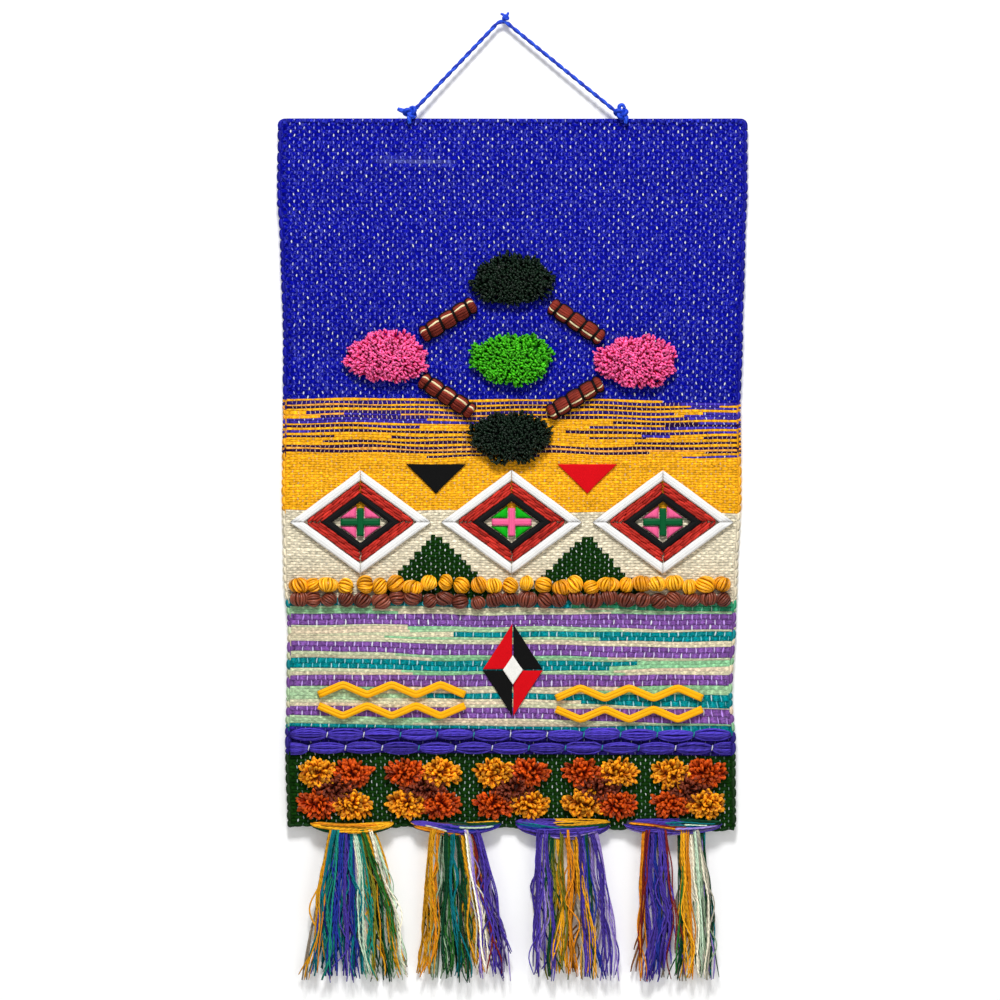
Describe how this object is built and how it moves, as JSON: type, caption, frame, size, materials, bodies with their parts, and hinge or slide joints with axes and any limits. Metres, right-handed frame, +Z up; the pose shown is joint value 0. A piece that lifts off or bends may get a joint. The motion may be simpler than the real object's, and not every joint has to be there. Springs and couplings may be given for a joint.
{
  "type": "woven wall hanging",
  "caption": "Woven wall hanging with padded lozenges, loop-pile rosettes, yarn-knot rows, plaits, a band of pile flowers and four tassels, hung from one nail by a twisted cord.",
  "frame": {"origin": "where the nail bears on the hanging cord, at the cord's highest bend", "axes": "+Z up; the decorated front faces -Y and the wall is at +Y; +X to the right seen from the front"},
  "size_m": [0.4047, 0.0212, 0.8319],
  "materials": {
    "panel_weave": "plain weave with stripes, matt",
    "cord_yarn": "twisted cotton, slight sheen",
    "lime_pile": "loop pile, matt",
    "pink_pile": "loop pile, matt",
    "dark_green_pile": "loop pile, matt",
    "brown_yarn": "stranded yarn, slight sheen",
    "white_padding": "padded yarn, satin",
    "black_padding": "padded yarn, satin",
    "green_padding": "padded yarn, satin",
    "pink_padding": "padded yarn, satin",
    "yellow_padding": "padded yarn, satin",
    "red_felt": "felt, matt",
    "black_felt": "felt, matt",
    "white_felt": "felt, matt",
    "mustard_yarn": "wound yarn, slight sheen",
    "dark_brown_yarn": "wound yarn, slight sheen",
    "violet_yarn": "stranded yarn, slight sheen",
    "flower_pile": "loop pile in yellow, orange and brown, matt",
    "tassel_yarn": "loose fine yarns of many colours"
  },
  "bodies": {
    "root": {"cloth_panel": "panel_weave", "hanging_cord": "cord_yarn", "cord_knot_left": "cord_yarn", "cord_knot_right": "cord_yarn", "cord_knot_top": "cord_yarn", "pile_rosette_centre": "lime_pile", "pile_rosette_left": "pink_pile", "pile_rosette_right": "pink_pile", "pile_rosette_top": "dark_green_pile", "pile_rosette_bottom": "dark_green_pile", "brown_roll_upper_left": "brown_yarn", "brown_roll_upper_right": "brown_yarn", "brown_roll_lower_left": "brown_yarn", "brown_roll_lower_right": "brown_yarn", "lozenge_left_white_upper_left": "white_padding", "lozenge_left_white_upper_right": "white_padding", "lozenge_left_white_lower_left": "white_padding", "lozenge_left_white_lower_right": "white_padding", "lozenge_middle_white_upper_left": "white_padding", "lozenge_middle_white_upper_right": "white_padding", "lozenge_middle_white_lower_left": "white_padding", "lozenge_middle_white_lower_right": "white_padding", "lozenge_right_white_upper_left": "white_padding", "lozenge_right_white_upper_right": "white_padding", "lozenge_right_white_lower_left": "white_padding", "lozenge_right_white_lower_right": "white_padding", "lozenge_left_black_ring": "black_padding", "lozenge_middle_black_ring": "black_padding", "lozenge_right_black_ring": "black_padding", "lozenge_left_cross": "green_padding", "lozenge_middle_cross": "pink_padding", "lozenge_right_cross": "green_padding", "felt_triangle_left": "black_felt", "felt_triangle_right": "red_felt", "felt_quarter_upper_left": "red_felt", "felt_quarter_upper_right": "black_felt", "felt_quarter_lower_left": "black_felt", "felt_quarter_lower_right": "red_felt", "felt_centre_lozenge": "white_felt", "mustard_knot_row": "mustard_yarn", "brown_knot_row": "dark_brown_yarn", "yellow_chain_left_upper": "yellow_padding", "yellow_chain_left_lower": "yellow_padding", "yellow_chain_right_upper": "yellow_padding", "yellow_chain_right_lower": "yellow_padding", "plait_upper": "violet_yarn", "plait_lower": "violet_yarn", "flower_cluster_1": "flower_pile", "flower_cluster_2": "flower_pile", "flower_cluster_3": "flower_pile", "flower_cluster_4": "flower_pile", "flower_cluster_5": "flower_pile", "tassel_1": "tassel_yarn", "tassel_2": "tassel_yarn", "tassel_3": "tassel_yarn", "tassel_4": "tassel_yarn"}
  },
  "joints": []
}
